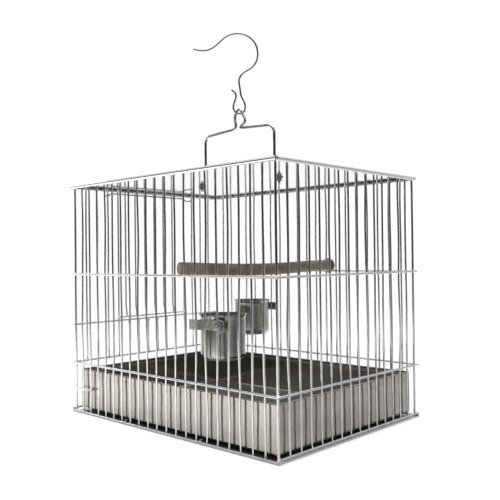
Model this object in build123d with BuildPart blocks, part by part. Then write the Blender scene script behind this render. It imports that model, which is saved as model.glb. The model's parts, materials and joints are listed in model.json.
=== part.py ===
from build123d import *
import os
from math import cos, sin, radians

# Small wire travel cage: welded wire body, hemmed sheet roof with a bail
# handle and hanging hook, lift-up wire door and pull-out tray at the -X end,
# a wooden perch and two clip-on cups.  Millimetres.
# Origin: centre of the footprint on the ground, +Z up.
# Left is -X (door and tray end), right is +X, front is -Y, back is +Y.

os.makedirs("parts", exist_ok=True)

# ---- shared dimensions -------------------------------------------------------
length = 300.0          # between end-wire planes (X)
width = 220.0           # between side-wire planes (Y)
wire_d = 2.0            # upright wires
rail_d = 2.4            # horizontal rails and corner posts
weld = 0.1              # depth a weld sinks one wire into another
side_spaces = 21        # wire spaces along a long side
end_spaces = 15         # wire spaces along a short end
sheet = 0.8             # roof, tray and cup bracket sheet
roof_gap = 0.05         # roof sheet to rail

half_len, half_wid = length / 2, width / 2
wire_r, rail_r = wire_d / 2, rail_d / 2
rail_step = rail_d - weld                   # axis to axis of two welded rails
rail_offset = wire_r + rail_r - weld        # rail axis outside the wire plane
rail_x, rail_y = half_len + rail_offset, half_wid + rail_offset
post_x, post_y = rail_x - rail_step, rail_y - rail_step
side_pitch, end_pitch = length / side_spaces, width / end_spaces
side_x = [-half_len + side_pitch * k for k in range(1, side_spaces)]
end_y = [-half_wid + end_pitch * k for k in range(1, end_spaces)]

# rail axis heights
z_foot = rail_r                             # lower long rails rest on the ground
z_cross = z_foot + rail_step                # cross rails lie on the long rails
z_tray_rail = 54.6
z_sill = 96.6
z_mid = 153.2
z_top = 251.2
z_wire_top = z_top + rail_r
z_roof = z_top + rail_r + roof_gap          # underside of the roof sheet

STAND = (Align.CENTER, Align.CENTER, Align.MIN)     # cylinder rises from its place
HANG = (Align.CENTER, Align.CENTER, Align.MAX)      # cylinder hangs from its place
FACE_FRONT = (90, 0, 0)                     # turns a cylinder's +Z to -Y
FACE_BACK = (-90, 0, 0)                     # turns a cylinder's +Z to +Y


def save(piece, name):
    piece.part.label = name
    export_step(piece.part, "parts/" + name + ".step")


def uprights(name, places, z_low, z_high=z_wire_top, radius=wire_r):
    """Vertical wires at (x, y) places."""
    with BuildPart() as wires:
        with Locations(*[(x, y, z_low) for x, y in places]):
            Cylinder(radius, z_high - z_low, align=STAND)
    save(wires, name)


def bars(name, locations, bar_length, radius=rail_r, end_chamfer=0):
    """Straight horizontal bars, each centred on its location."""
    with BuildPart() as rods:
        with Locations(*locations):
            Cylinder(radius, bar_length)
        if end_chamfer:
            chamfer(rods.edges().filter_by(GeomType.CIRCLE), end_chamfer)
    save(rods, name)


def along_x(z):
    """Locations of the two long rails at height z."""
    return [Location((0, side * rail_y, z), (0, 90, 0)) for side in (-1, 1)]


def along_y(x_places, z):
    """Locations of bars that lie along Y."""
    return [Location((x, 0, z), FACE_FRONT) for x in x_places]


def hex_nut(name, origin, outward, hole_r, height):
    """Hexagonal nut, 4 mm to its corners, built from origin towards outward."""
    with BuildPart() as nut:
        with BuildSketch(Plane(origin=origin, x_dir=(1, 0, 0), z_dir=outward)):
            RegularPolygon(4.0, 6)
            Circle(hole_r, mode=Mode.SUBTRACT)
        extrude(amount=height)
    save(nut, name)


# ---- uprights ----------------------------------------------------------------
post_z = 0.3            # foot of the corner posts
side_wire_z = 0.4       # foot of the side wires
end_lap = 0.2           # right end wires start this far above the rail's underside
left_lap = 0.1          # left end wires end this far inside the rail's edge
left_z = z_tray_rail - rail_r + left_lap

beside_y = end_y[:3] + end_y[-3:]           # full wires beside the doorway
guide_y = [end_y[3], end_y[10]]             # wires the door slides on
door_y = end_y[4:10]                        # wires of the sill and of the door

uprights("corner_posts", [(i * post_x, j * post_y) for i in (-1, 1) for j in (-1, 1)],
         post_z, radius=rail_r)
uprights("front_wires", [(x, -half_wid) for x in side_x], side_wire_z)
uprights("back_wires", [(x, half_wid) for x in side_x], side_wire_z)
uprights("right_end_wires", [(half_len, y) for y in end_y], z_cross - rail_r + end_lap)
uprights("left_end_wires", [(-half_len, y) for y in beside_y], left_z)
uprights("door_guide_wires", [(-half_len, y) for y in guide_y], left_z)
uprights("sill_wires", [(-half_len, y) for y in door_y], left_z, z_sill + rail_r - left_lap)

# ---- rails -------------------------------------------------------------------
rail_chamfer = 0.35
bearer_spaces = 4       # tray bearers lie this many side pitches from the middle
bearer_overrun = 0.6    # bearers run past the long rails' axes
long_len = 2 * (rail_x + rail_r)            # long rails run past the end rails
butt_len = 2 * (rail_y - rail_r + weld)     # end rails butt against the long rails

for rail_name, rail_z in (("bottom", z_foot), ("tray_level", z_tray_rail),
                          ("middle", z_mid), ("top", z_top)):
    bars(rail_name + "_long_rails", along_x(rail_z), long_len, end_chamfer=rail_chamfer)

bars("tray_level_end_rails", along_y((-rail_x, rail_x), z_tray_rail), butt_len)
bars("middle_end_rail", along_y((rail_x,), z_mid), butt_len)
bars("top_end_rails", along_y((-rail_x, rail_x), z_top), butt_len)
bars("door_sill", along_y((-rail_x,), z_sill), butt_len)

# These lie across the lower long rails.
bars("bottom_end_rails", along_y((-rail_x, rail_x), z_cross), 2 * (rail_y + rail_r),
     end_chamfer=rail_chamfer)
bearer_x = side_pitch * bearer_spaces
bars("tray_bearers", along_y((-bearer_x, bearer_x), z_cross), 2 * (rail_y + bearer_overrun))

# ---- roof --------------------------------------------------------------------
# Flat sheet whose four edges roll over the top rails in a C-section hem.
# The hem section is drawn about the rail's axis, x outwards and y up.
handle_x = 1.0          # handle sits a touch off centre, as bent
foot_half = 58.35       # fixing screws either side of handle_x
screw_x = [handle_x - foot_half, handle_x + foot_half]

hem_in_r = rail_r + roof_gap
hem_r = rail_r + roof_gap + sheet
hem_end = radians(-78.0)                    # where the roll stops
hem_mid = radians((90 - 78.0) / 2)          # halfway round the roll
hem_root = -3.0                             # hem section starts inside the sheet
hem_overrun = 0.6                           # hems run past the rails' axes
roof_hole_r = 1.65


def polar(radius, angle):
    return (radius * cos(angle), radius * sin(angle))


hem_runs = [(Plane(origin=(0, s * rail_y, z_top), x_dir=(0, s, 0), z_dir=(s, 0, 0)), rail_x)
            for s in (-1, 1)]
hem_runs += [(Plane(origin=(s * rail_x, 0, z_top), x_dir=(s, 0, 0), z_dir=(0, -s, 0)), rail_y)
             for s in (-1, 1)]

with BuildPart() as roof_plate:
    with BuildSketch(Plane.XY.offset(z_roof)):
        Rectangle(2 * rail_x, 2 * rail_y)
    extrude(amount=sheet)
    for hem_plane, half_run in hem_runs:
        with BuildSketch(hem_plane):
            with BuildLine():
                lip_in, lip_out = polar(hem_in_r, hem_end), polar(hem_r, hem_end)
                Line((hem_root, hem_in_r), (0, hem_in_r))
                ThreePointArc((0, hem_in_r), polar(hem_in_r, hem_mid), lip_in)
                Line(lip_in, lip_out)
                ThreePointArc(lip_out, polar(hem_r, hem_mid), (0, hem_r))
                Line((0, hem_r), (hem_root, hem_r))
                Line((hem_root, hem_r), (hem_root, hem_in_r))
            make_face()
        extrude(amount=half_run + hem_overrun, both=True)
    # clear the rails, which run on through the corners
    with Locations(*along_x(z_top)):
        Cylinder(hem_in_r, long_len + 8, mode=Mode.SUBTRACT)
    with Locations(*along_y((-rail_x, rail_x), z_top)):
        Cylinder(hem_in_r, 2 * rail_y + 2, mode=Mode.SUBTRACT)
    with Locations(*[(x, 0, z_roof) for x in screw_x]):
        Cylinder(roof_hole_r, 4, mode=Mode.SUBTRACT)
save(roof_plate, "roof_plate")

# ---- handle ------------------------------------------------------------------
play = 0.02             # gap between stacked fittings
handle_r = 1.5
handle_half = 52.3      # legs either side of handle_x
z_bar = 311.0           # nominal height of the handle's bar
loop_x = 3.0            # raised loop in the bar that takes the hook
loop_top = 331.6
foot_r = 4.2            # flattened foot
foot_t = 1.6
foot_hole_r = 1.6
foot_start = 3.4        # wire begins this far from the screw
foot_bend = 2.6         # bend from foot to leg
shoulder_drop = 12.0    # leg is straight up to this far below the bar

z_pad = z_roof + sheet + play               # feet rest on the roof
z_leg = z_pad + handle_r                    # wire axis at the feet
leg_l, leg_r = handle_x - handle_half, handle_x + handle_half
z_bend = z_leg + foot_bend
z_shoulder = z_bar - shoulder_drop

# ends of the straight halves of the bar, left to right
bar_l0, bar_l1 = (leg_l + 9.5, 0, z_bar - 2.3), (loop_x - 9.0, 0, z_bar - 0.3)
bar_r0, bar_r1 = (loop_x + 9.0, 0, z_bar - 0.3), (leg_r - 9.5, 0, z_bar - 2.3)
dir_l = (Vector(*bar_l1) - Vector(*bar_l0)).normalized()
dir_r = (Vector(*bar_r1) - Vector(*bar_r0)).normalized()
# loop stations between the two halves: x, y, z
loop_points = [
    (loop_x - 5.4, 0, z_bar + 3.4),
    (loop_x - 6.5, 0, z_bar + 12.6),
    (loop_x, 0, loop_top),
    (loop_x + 6.5, 0, z_bar + 12.6),
    (loop_x + 5.4, 0, z_bar + 3.4),
]

with BuildPart() as handle:
    foot_l, foot_r_end = (screw_x[0] + foot_start, 0, z_leg), (screw_x[1] - foot_start, 0, z_leg)
    with BuildLine() as path:
        Line(foot_l, (leg_l - foot_bend, 0, z_leg))
        TangentArc((leg_l - foot_bend, 0, z_leg), (leg_l, 0, z_bend), tangent=(1, 0, 0))
        Line((leg_l, 0, z_bend), (leg_l, 0, z_shoulder))
        Spline([(leg_l, 0, z_shoulder), (leg_l + 2.8, 0, z_bar - 5.2), bar_l0],
               tangents=[(0, 0, 1), dir_l])
        Line(bar_l0, bar_l1)
        Spline([bar_l1] + loop_points + [bar_r0], tangents=[dir_l, dir_r])
        Line(bar_r0, bar_r1)
        Spline([bar_r1, (leg_r - 2.8, 0, z_bar - 5.2), (leg_r, 0, z_shoulder)],
               tangents=[dir_r, (0, 0, -1)])
        Line((leg_r, 0, z_shoulder), (leg_r, 0, z_bend))
        TangentArc((leg_r, 0, z_bend), (leg_r + foot_bend, 0, z_leg), tangent=(0, 0, -1))
        Line((leg_r + foot_bend, 0, z_leg), foot_r_end)
    with BuildSketch(Plane(origin=foot_l, z_dir=(1, 0, 0))):
        Circle(handle_r)
    sweep(path=path.wires()[0])
    # flattened feet drilled for the fixing screws, each with a neck to the wire
    with BuildSketch(Plane.XY.offset(z_pad)):
        with Locations((screw_x[0], 0), (screw_x[1], 0)):
            Circle(foot_r)
        with Locations((screw_x[0] + 2.6, 0), (screw_x[1] - 2.6, 0)):
            Rectangle(3.6, 4.4)
    extrude(amount=foot_t)
    with Locations((screw_x[0], 0, z_pad), (screw_x[1], 0, z_pad)):
        Cylinder(foot_hole_r, 8, mode=Mode.SUBTRACT)
save(handle, "handle")

# ---- handle fixings ----------------------------------------------------------
fix_washer_t = 0.8
shank_below = 6.0       # shanks reach this far below the roof sheet

with BuildPart() as handle_screws:      # hex-head screws through foot and roof
    z_head = z_pad + foot_t + play
    z_shank = z_head + play
    with BuildSketch(Plane.XY.offset(z_head)):
        with Locations(*[(x, 0) for x in screw_x]):
            RegularPolygon(3.0, 6)
    extrude(amount=2.1)
    # the selector takes a single face, so only one head is chamfered
    chamfer(handle_screws.faces().sort_by(Axis.Z)[-1].edges(), 0.25)
    with Locations(*[(x, 0, z_shank) for x in screw_x]):
        Cylinder(1.5, z_shank - (z_roof - shank_below), align=HANG)
save(handle_screws, "handle_screws")

with BuildPart() as handle_washers:
    with Locations(*[(x, 0, z_roof - play) for x in screw_x]):
        Cylinder(4.5, fix_washer_t, align=HANG)
        Cylinder(1.6, 3.0, mode=Mode.SUBTRACT)
save(handle_washers, "handle_washers")

with BuildPart() as handle_nuts:
    z_nut = z_roof - fix_washer_t - 2 * play
    with BuildSketch(Plane.XY.offset(z_nut)):
        with Locations(*[(x, 0) for x in screw_x]):
            RegularPolygon(3.2, 6)
    extrude(amount=-3.2)
    with Locations(*[(x, 0, z_nut) for x in screw_x]):
        Cylinder(1.55, 12.0, mode=Mode.SUBTRACT)
save(handle_nuts, "handle_nuts")

# ---- hanging hook ------------------------------------------------------------
hook_r = 1.0
hook_turn = radians(64.0)   # plan angle of the hook's plane from +X
eye_z = 333.7               # height of the lower eye's centre
eye_bend_r = 6.8
hook_u = (cos(hook_turn), sin(hook_turn), 0)
hook_plane = Plane(origin=(loop_x, 0, 0), x_dir=hook_u, z_dir=(hook_u[1], -hook_u[0], 0))

# stations in the hook's plane, tip to eye: distance from the handle loop, height
hook_body = [
    (-51.4, 392.8), (-42.7, 392.1), (-35.0, 393.6), (-24.6, 400.7), (-12.7, 411.1),
    (-0.5, 414.9), (11.1, 412.9), (19.7, 405.7), (22.5, 394.4),
    (20.0, 384.8), (12.8, 377.2), (4.3, 371.3), (0.3, 364.0),
    (1.1, 355.1), (2.8, 345.8), (6.5, 338.7),
]
hook_eye = [(eye_bend_r * cos(radians(a)), eye_z + eye_bend_r * sin(radians(a)))
            for a in (0, -45, -90, -135, -180)]
hook_tail = [(-5.5, 339.4), (-3.6, 346.2), (-8.8, 352.1)]

with BuildPart() as hook:
    with BuildLine() as path:
        Spline([hook_plane.from_local_coords(Vector(u, z, 0))
                for u, z in hook_body + hook_eye + hook_tail])
    hook_wire = path.wires()[0]
    with BuildSketch(Plane(origin=hook_wire @ 0, z_dir=hook_wire % 0)):
        Circle(hook_r)
    sweep(path=hook_wire)
save(hook, "hanging_hook")

# ---- tray --------------------------------------------------------------------
tray_len = 291.5
tray_wid = 213.4
tray_x0 = -145.0        # outer face at the pull-out end
tray_cx = tray_x0 + tray_len / 2
tray_cy = -0.3
tray_z = 4.8
tray_h = 42.9
tray_r = 2.0            # outer corner radius
tray_base_r = 1.2       # rounding round the base
rim_h = 5.0             # folded-in rim band
rim_inset = 0.5         # rim band starts this far inside the outer face
rim_r = 0.4             # inner corner radius of the rim band

with BuildPart() as tray:
    with BuildSketch(Plane.XY.offset(tray_z)):
        with Locations((tray_cx, tray_cy)):
            RectangleRounded(tray_len, tray_wid, tray_r)
    extrude(amount=tray_h)
    fillet(tray.faces().sort_by(Axis.Z)[0].edges(), tray_base_r)
    with BuildSketch(Plane.XY.offset(tray_z + sheet)):
        with Locations((tray_cx, tray_cy)):
            RectangleRounded(tray_len - 2 * sheet, tray_wid - 2 * sheet, tray_r - sheet)
    extrude(amount=tray_h, mode=Mode.SUBTRACT)
    # rim folded inwards: double thickness band
    with BuildSketch(Plane.XY.offset(tray_z + tray_h - rim_h)):
        with Locations((tray_cx, tray_cy)):
            RectangleRounded(tray_len - 2 * rim_inset, tray_wid - 2 * rim_inset,
                             tray_r - rim_inset)
            RectangleRounded(tray_len - 4 * sheet, tray_wid - 4 * sheet, rim_r,
                             mode=Mode.SUBTRACT)
    extrude(amount=rim_h)
save(tray, "tray")

# ---- tray latch --------------------------------------------------------------
# Bent wire whose eye turns on the second front wire; its arm runs left outside
# the wires and bends round the corner post.
latch_r = 0.9
latch_z = 26.7
latch_bend = 2.4
latch_rise = 2.0        # the tip is raised by this
latch_eye_r = wire_r + 0.08 + latch_r
pivot_x, pivot_y = side_x[1], -half_wid
latch_x = -(post_x + rail_r + 0.4 + latch_r)
latch_y = pivot_y - latch_eye_r
latch_tip_y = tray_cy - tray_wid / 2 - 1.9

with BuildPart() as tray_latch:
    arm_start = (pivot_x, latch_y, latch_z)
    bend_start = (latch_x + latch_bend, latch_y, latch_z)
    bend_end = (latch_x, latch_y + latch_bend, latch_z)
    with BuildLine() as eye:
        CenterArc((pivot_x, pivot_y, latch_z), latch_eye_r, -90, 315)
    with BuildLine() as arm:
        Line(arm_start, bend_start)
        TangentArc(bend_start, bend_end, tangent=(-1, 0, 0))
        Spline([bend_end, (latch_x, latch_tip_y, latch_z + latch_rise)],
               tangents=[(0, 1, 0), (0, 1, 0.5)])
    with BuildSketch(Plane(origin=arm_start, z_dir=(1, 0, 0))):
        Circle(latch_r)
    sweep(path=eye.wires()[0])
    with BuildSketch(Plane(origin=arm_start, z_dir=(-1, 0, 0))):
        Circle(latch_r)
    sweep(path=arm.wires()[0], transition=Transition.ROUND)
save(tray_latch, "tray_latch")

# ---- door --------------------------------------------------------------------
door_x = -(rail_x + hem_r + 0.45 + wire_r)  # door wires pass outside the roof hem
door_z = 100.4                              # axis of the bottom rail
door_top = 257.0
door_eye_r = wire_d + 0.15                  # curls at the ends of the bottom rail
door_rail_x = -(half_len + door_eye_r)
door_low_x = door_rail_x - (wire_d - weld)  # wires' lower ends, outside the rail

with BuildPart() as door_wires:
    for y in door_y:
        with BuildLine() as path:
            # straight, then jogged in towards the bottom rail
            Line((door_x, y, door_top), (door_x, y, door_z + 14))
            Spline([(door_x, y, door_z + 14), (door_x + 0.65, y, door_z + 9.0),
                    (door_low_x, y, door_z + 4)],
                   tangents=[(0, 0, -1), (0, 0, -1)])
            Line((door_low_x, y, door_z + 4), (door_low_x, y, door_z - 0.6))
        with BuildSketch(Plane(origin=(door_x, y, door_top), z_dir=(0, 0, -1))):
            Circle(wire_r)
        sweep(path=path.wires()[0], transition=Transition.ROUND)
save(door_wires, "door_wires")

with BuildPart() as door_bottom_rail:   # its ends curl round the guide wires
    with BuildSketch(Plane(origin=(door_rail_x, 0, door_z), z_dir=(0, 1, 0))):
        Circle(wire_r)
    extrude(amount=guide_y[1], both=True)
    for y, side in zip(guide_y, (-1, 1)):
        with BuildLine() as curl:
            CenterArc((-half_len, y, door_z), door_eye_r, 180, -side * 300)
        with BuildSketch(Plane(origin=(door_rail_x, y, door_z), z_dir=(0, side, 0))):
            Circle(wire_r)
        sweep(path=curl.wires()[0])
save(door_bottom_rail, "door_bottom_rail")

# The wires' tops sink 0.15 into this rail, which runs 4 past the outer wires.
bars("door_top_rail", along_y((door_x,), door_top + wire_r - 0.15),
     2 * (door_y[-1] + 4), radius=wire_r, end_chamfer=0.3)

keeper_x = door_x - wire_d - 0.3
keeper_y = beside_y[3] - wire_d + weld      # alongside the wires next to the guides
keeper_in_x = -half_len + 0.9               # inner ends of the arms
keeper_z = 247.9                            # bar, just under the roof's edge
keeper_arm_z = 244.6                        # its two arms, a little lower
keeper_slope = 8.5                          # run in Y from an arm up to the bar

with BuildPart() as door_keeper:        # fixed bar the door slides behind
    with BuildLine() as path:
        FilletPolyline((keeper_in_x, -keeper_y, keeper_arm_z),
                       (keeper_x, -keeper_y, keeper_arm_z),
                       (keeper_x, -keeper_y + keeper_slope, keeper_z),
                       (keeper_x, keeper_y - keeper_slope, keeper_z),
                       (keeper_x, keeper_y, keeper_arm_z),
                       (keeper_in_x, keeper_y, keeper_arm_z), radius=2.2)
    with BuildSketch(Plane(origin=(keeper_in_x, -keeper_y, keeper_arm_z), z_dir=(-1, 0, 0))):
        Circle(wire_r)
    sweep(path=path.wires()[0], transition=Transition.ROUND)
save(door_keeper, "door_keeper")

# ---- perch -------------------------------------------------------------------
perch_r = 6.5
perch_x = 40.2          # bolt passes between two back wires
perch_z = 159.6
perch_washer_t = 1.0
inner_washer_r = 8.9
outer_washer_r = 5.1    # clears the middle rail
perch_hole_depth = 22.0
bolt_depth = 21.0       # bolt inside the wood
bolt_reach = 7.5        # bolt beyond the back wires

y_inner = half_wid - wire_r - 0.1                       # inner washer's back face
y_outer = half_wid + wire_r + 0.1 + perch_washer_t      # outer washer's back face
y_perch = y_inner - perch_washer_t - 0.05               # back end of the perch

# centreline forward of the back end: x from perch_x, y, z from perch_z
perch_bends = [(-1.2, 62, -0.8), (-5.2, 8, -2.4), (-13.6, -48, -1.7), (-26.6, -98, -0.1)]

with BuildPart() as perch:
    with BuildLine() as path:
        Spline([(perch_x, y_perch, perch_z)]
               + [(perch_x + dx, y, perch_z + dz) for dx, y, dz in perch_bends],
               tangents=[(0, -1, 0), (-0.3, -1, 0.0)])
    perch_wire = path.wires()[0]
    with BuildSketch(Plane(origin=perch_wire @ 0, z_dir=perch_wire % 0)):
        Circle(perch_r)
    sweep(path=perch_wire)
    with Locations(Location((perch_x, y_perch, perch_z), FACE_FRONT)):
        Cylinder(1.9, 2 * perch_hole_depth, mode=Mode.SUBTRACT)
save(perch, "perch")

with BuildPart() as perch_bolt:         # hanger bolt: stud screwed into the wood
    with Locations(Location((perch_x, y_perch - bolt_depth, perch_z), FACE_BACK)):
        Cylinder(1.95, bolt_depth + (half_wid + wire_r + bolt_reach - y_perch), align=STAND)
    chamfer(perch_bolt.edges().filter_by(GeomType.CIRCLE), 0.4)
save(perch_bolt, "perch_bolt")

with BuildPart() as perch_washers:
    inner_place = Location((perch_x, y_inner, perch_z), FACE_FRONT)
    outer_place = Location((perch_x, y_outer, perch_z), FACE_FRONT)
    with Locations(inner_place):
        Cylinder(inner_washer_r, perch_washer_t, align=STAND)
    with Locations(outer_place):
        Cylinder(outer_washer_r, perch_washer_t, align=STAND)
    with Locations(inner_place, outer_place):
        Cylinder(2.15, 6, mode=Mode.SUBTRACT)
save(perch_washers, "perch_washers")

hex_nut("perch_nut", (perch_x, y_outer + 0.05, perch_z), (0, 1, 0), hole_r=2.0, height=3.2)

# ---- cups --------------------------------------------------------------------
# Each cup hangs on a bent strip: an outer tab hooks over one side wire, the
# strip passes inside, carries the cup and is clamped by a screw and washer.
# Sizes are for the front cup; turn = -1 makes the back one, a half-turn copy.
cup_r = 21.0            # body outer radius
cup_rim_r = 22.6
cup_h = 42.0
cup_t = 0.8
cup_bend = 5.0          # base bend: its start along the floor and up the wall
cup_z = 75.4            # underside
strip_h = 9.4
strip_z = 108.6         # mid height of the strip
tab_x0, tab_x1 = 43.4, 53.6
clamp_x = 83.5          # clamping screw
strip_end_x = clamp_x + 6.0
clamp_hole_r = 2.15
clamp_washer_t = 1.0

y_clear = -half_wid - wire_r - 0.15     # just outside the front wires
y_tab = y_clear - sheet                 # outer face of the tab
y_strip = -half_wid + wire_r + 1.8      # strip's face towards the wires
y_strip_in = y_strip + sheet            # strip's face towards the cup
cup_x, cup_y = 61.5, y_strip_in - 0.1 + cup_r

# strip seen from above, front side: x, y
strip_outline = [
    (tab_x0, y_tab), (tab_x1, y_tab),
    (tab_x1 + 3.4, y_strip), (strip_end_x, y_strip),
    (strip_end_x, y_strip_in), (tab_x1 + 2.9, y_strip_in),
    (tab_x1 - 0.4, y_tab + sheet), (tab_x0, y_tab + sheet),
]


def make_cup(name, turn):
    """Cup with a flared rim, revolved from its wall section (radius, height)."""
    x, y = turn * cup_x, turn * cup_y
    inner_r = cup_r - cup_t
    floor_r = cup_r - cup_bend
    with BuildPart() as cup:
        with BuildSketch(Plane(origin=(x, y, cup_z), x_dir=(1, 0, 0), z_dir=(0, -1, 0))):
            with BuildLine():
                Line((0, 0), (floor_r, 0))
                TangentArc((floor_r, 0), (cup_r, cup_bend), tangent=(1, 0))
                Line((cup_r, cup_bend), (cup_r, cup_h - 3.6))
                Spline([(cup_r, cup_h - 3.6), (cup_r + 0.5, cup_h - 1.6),
                        (cup_rim_r, cup_h - 0.5)], tangents=[(0, 1), (1, 0.45)])
                Line((cup_rim_r, cup_h - 0.5), (cup_rim_r - 0.15, cup_h))
                Line((cup_rim_r - 0.15, cup_h), (cup_r + 0.1, cup_h - 0.5))
                Spline([(cup_r + 0.1, cup_h - 0.5), (cup_r - 0.55, cup_h - 2.2),
                        (inner_r, cup_h - 4.4)], tangents=[(-1, -0.45), (0, -1)])
                Line((inner_r, cup_h - 4.4), (inner_r, cup_bend))
                TangentArc((inner_r, cup_bend), (floor_r, cup_t), tangent=(0, -1))
                Line((floor_r, cup_t), (0, cup_t))
                Line((0, cup_t), (0, 0))
            make_face()
        revolve(axis=Axis((x, y, 0), (0, 0, 1)))
    save(cup, name)


def make_bracket(name, turn):
    with BuildPart() as bracket:
        with BuildSketch(Plane.XY.offset(strip_z - strip_h / 2)):
            with BuildLine():
                Polyline(*[(turn * x, turn * y) for x, y in strip_outline], close=True)
            make_face()
        extrude(amount=strip_h)
        with Locations(Location((turn * clamp_x, turn * y_strip, strip_z), FACE_FRONT)):
            Cylinder(clamp_hole_r, 8, mode=Mode.SUBTRACT)
    save(bracket, name)


def make_clamp_screw(name, turn):
    """Pan head inside the strip, shank out between the wires."""
    y_head = y_strip_in + play
    y_shank = y_strip_in + 0.5          # shank starts within the head
    y_shank_end = y_clear - clamp_washer_t - 4.2
    with BuildPart() as screw:
        with Locations(Location((turn * clamp_x, turn * y_head, strip_z), (-90 * turn, 0, 0))):
            Cylinder(3.6, 2.2, align=STAND)
        inner_end = -1 if turn > 0 else 0
        fillet(screw.edges().filter_by(GeomType.CIRCLE).group_by(Axis.Y)[inner_end], 0.9)
        with Locations(Location((turn * clamp_x, turn * y_shank, strip_z), (90 * turn, 0, 0))):
            Cylinder(2.0, y_shank - y_shank_end, align=STAND)
    save(screw, name)


def make_clamp_washer(name, turn):
    with BuildPart() as washer:
        with Locations(Location((turn * clamp_x, turn * y_clear, strip_z), (90 * turn, 0, 0))):
            Cylinder(6.0, clamp_washer_t, align=STAND)
            Cylinder(clamp_hole_r, 6, mode=Mode.SUBTRACT)
    save(washer, name)


for turn, tag in ((1, "front"), (-1, "back")):
    make_cup(tag + "_cup", turn)
    make_bracket(tag + "_cup_bracket", turn)
    make_clamp_screw(tag + "_cup_screw", turn)
    make_clamp_washer(tag + "_cup_washer", turn)
    hex_nut(tag + "_cup_nut",
            (turn * clamp_x, turn * (y_clear - clamp_washer_t - play), strip_z),
            (0, -turn, 0), hole_r=2.05, height=3.0)
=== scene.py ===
"""A bird cage of welded steel wire with a sheet roof, a slide-out tray, a perch and two cups.

The cage stands on z = 0 with its long sides along X. The front cup is on the -Y side and the
back cup on the +Y side. The door is in one end, and the perch is bolted at its +Y end.
"""
import json
import math
import random
from collections import namedtuple

import bmesh
import bpy
import numpy as np
from mathutils import Matrix, Vector, noise


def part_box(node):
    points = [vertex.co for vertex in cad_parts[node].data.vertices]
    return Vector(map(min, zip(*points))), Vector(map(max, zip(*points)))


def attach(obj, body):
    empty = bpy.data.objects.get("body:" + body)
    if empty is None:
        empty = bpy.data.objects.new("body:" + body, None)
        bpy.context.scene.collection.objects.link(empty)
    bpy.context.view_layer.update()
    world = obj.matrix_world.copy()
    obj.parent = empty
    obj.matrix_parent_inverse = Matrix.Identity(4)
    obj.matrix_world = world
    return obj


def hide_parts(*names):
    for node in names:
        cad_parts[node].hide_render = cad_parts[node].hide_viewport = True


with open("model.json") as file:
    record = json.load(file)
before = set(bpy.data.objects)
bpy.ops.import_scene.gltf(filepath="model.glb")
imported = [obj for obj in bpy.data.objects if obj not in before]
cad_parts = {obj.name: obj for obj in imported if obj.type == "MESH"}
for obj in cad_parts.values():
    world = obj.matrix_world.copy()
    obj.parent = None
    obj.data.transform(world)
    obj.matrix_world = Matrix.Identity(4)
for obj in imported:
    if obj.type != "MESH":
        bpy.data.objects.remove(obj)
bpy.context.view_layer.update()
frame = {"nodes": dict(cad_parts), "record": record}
NODES = frame["nodes"]
MM = 0.001
# Fixes the shared random state; the irregularities below come from mathutils noise.
random.seed(7)

Rod = namedtuple("Rod", "start end radius axis")
# along: place on the rod's own axis; gap_axis: the direction from one rod to the other
Weld = namedtuple("Weld", "along point gap_axis axis other_axis radius")


# ------------------------------------------------------------------ CAD readers
def islands(node_name):
    """The separate solids of a CAD node, each as an array of points, ordered by centre."""
    mesh = NODES[node_name].data
    coords = np.zeros(len(mesh.vertices) * 3)
    mesh.vertices.foreach_get("co", coords)
    coords = coords.reshape(-1, 3)
    index_of, merged = {}, np.zeros(len(coords), int)
    for i, point in enumerate(np.round(coords, 6)):
        merged[i] = index_of.setdefault(tuple(point), len(index_of))
    parent = list(range(len(index_of)))

    def root(item):
        while parent[item] != item:
            parent[item] = parent[parent[item]]
            item = parent[item]
        return item

    for edge in mesh.edges:
        first, second = (root(merged[i]) for i in edge.vertices)
        if first != second:
            parent[first] = second
    groups = {}
    for i in range(len(coords)):
        groups.setdefault(root(merged[i]), []).append(i)
    solids = [coords[group] for group in groups.values()]
    solids.sort(key=lambda points: tuple(round(points[:, k].mean(), 4) for k in range(3)))
    return solids


def rods(node_name):
    """The straight round rods of a CAD node."""
    found = []
    for points in islands(node_name):
        low, high = points.min(0), points.max(0)
        size = high - low
        axis = int(size.argmax())
        radius = float(min(size[i] for i in range(3) if i != axis)) / 2
        start = (low + high) / 2
        end = start.copy()
        start[axis], end[axis] = low[axis], high[axis]
        found.append(Rod(Vector(start), Vector(end), radius, axis))
    return found


# ------------------------------------------------------------------ mesh helpers
def shade_by_angle(ob, degrees):
    bpy.context.view_layer.objects.active = ob
    ob.select_set(True)
    bpy.ops.object.shade_smooth_by_angle(angle=math.radians(degrees))
    ob.select_set(False)


class Shape:
    """Closed surfaces gathered into one object."""

    def __init__(self):
        self.verts, self.faces = [], []

    def add(self, verts, faces):
        offset = len(self.verts)
        self.verts += [tuple(vert) for vert in verts]
        self.faces += [tuple(i + offset for i in face) for face in faces]

    def build(self, name, body, material, replaces=None, sharp=None):
        """Make the object; edges steeper than sharp degrees are left hard."""
        mesh = bpy.data.meshes.new(name)
        mesh.from_pydata(self.verts, [], self.faces)
        mesh.validate()
        bm = bmesh.new()
        bm.from_mesh(mesh)
        bmesh.ops.recalc_face_normals(bm, faces=bm.faces)
        bm.to_mesh(mesh)
        bm.free()
        mesh.update()
        ob = bpy.data.objects.new(name, mesh)
        bpy.context.scene.collection.objects.link(ob)
        for polygon in mesh.polygons:
            polygon.use_smooth = True
        if sharp:
            shade_by_angle(ob, sharp)
        mesh.materials.append(material)
        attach(ob, body)
        if replaces:
            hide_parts(replaces)
        return ob


def angles(seg):
    return [2 * math.pi * k / seg for k in range(seg)]


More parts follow.
